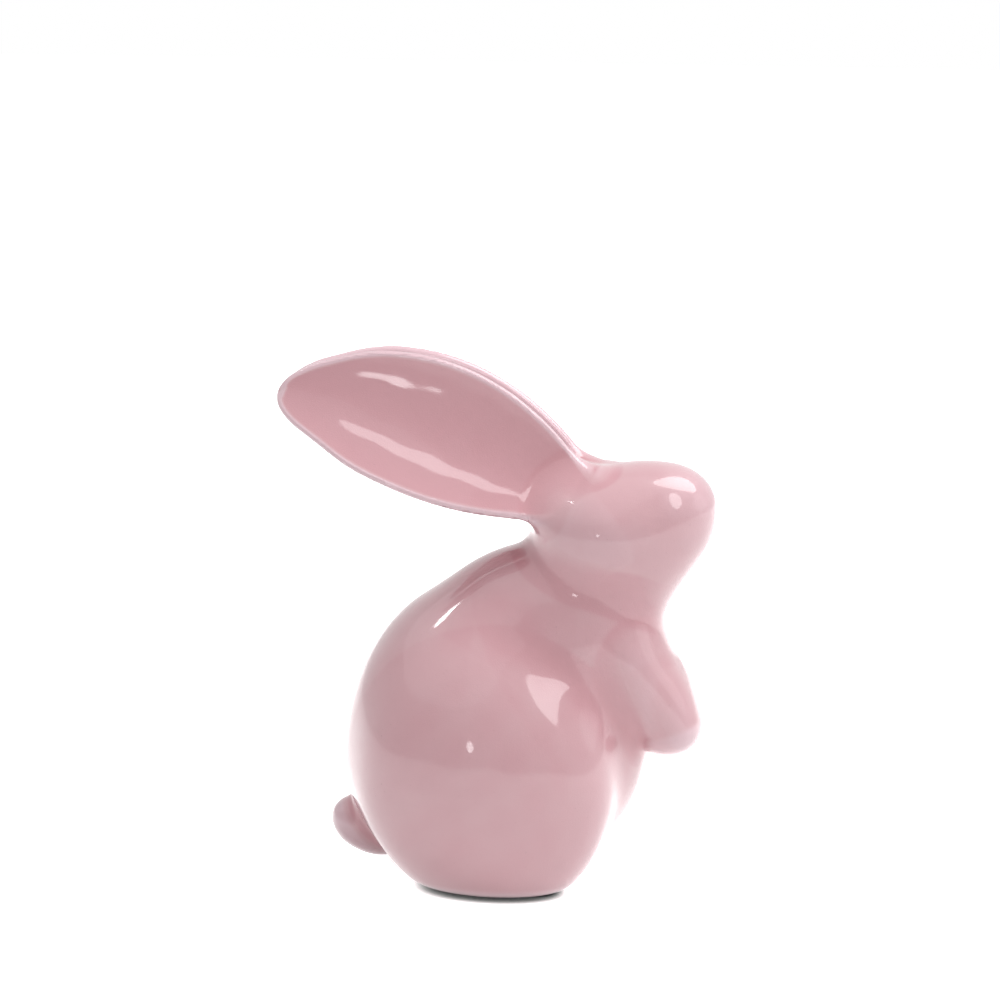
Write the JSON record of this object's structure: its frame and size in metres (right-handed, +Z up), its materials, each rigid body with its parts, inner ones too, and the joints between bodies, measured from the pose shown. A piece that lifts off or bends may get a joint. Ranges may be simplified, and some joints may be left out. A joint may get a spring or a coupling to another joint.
{
  "type": "rabbit figurine",
  "caption": "Seated ornament rabbit of glazed ceramic with lifted head, laid-back leaf ears, folded forepaws and a nub of a tail, on felt foot pads.",
  "frame": {"origin": "centre of the object's footprint, on the surface that it stands on", "axes": "+Z up, -Y the way that the rabbit looks, +X to the rabbit's left; X = 0 is its mirror plane"},
  "size_m": [0.09, 0.1383, 0.1673],
  "materials": {
    "glaze": "glossy transparent pale pink glaze over white clay, paler where it thins over edges",
    "felt": "pressed wool felt, matte, light grey beige"
  },
  "bodies": {
    "root": {"body_shell": "glaze", "head_shell": "glaze", "ear_left": "glaze", "ear_right": "glaze", "forepaw_left": "glaze", "forepaw_right": "glaze", "tail": "glaze", "foot_pad_front_left": "felt", "foot_pad_front_right": "felt", "foot_pad_rear_left": "felt", "foot_pad_rear_right": "felt"}
  },
  "joints": []
}
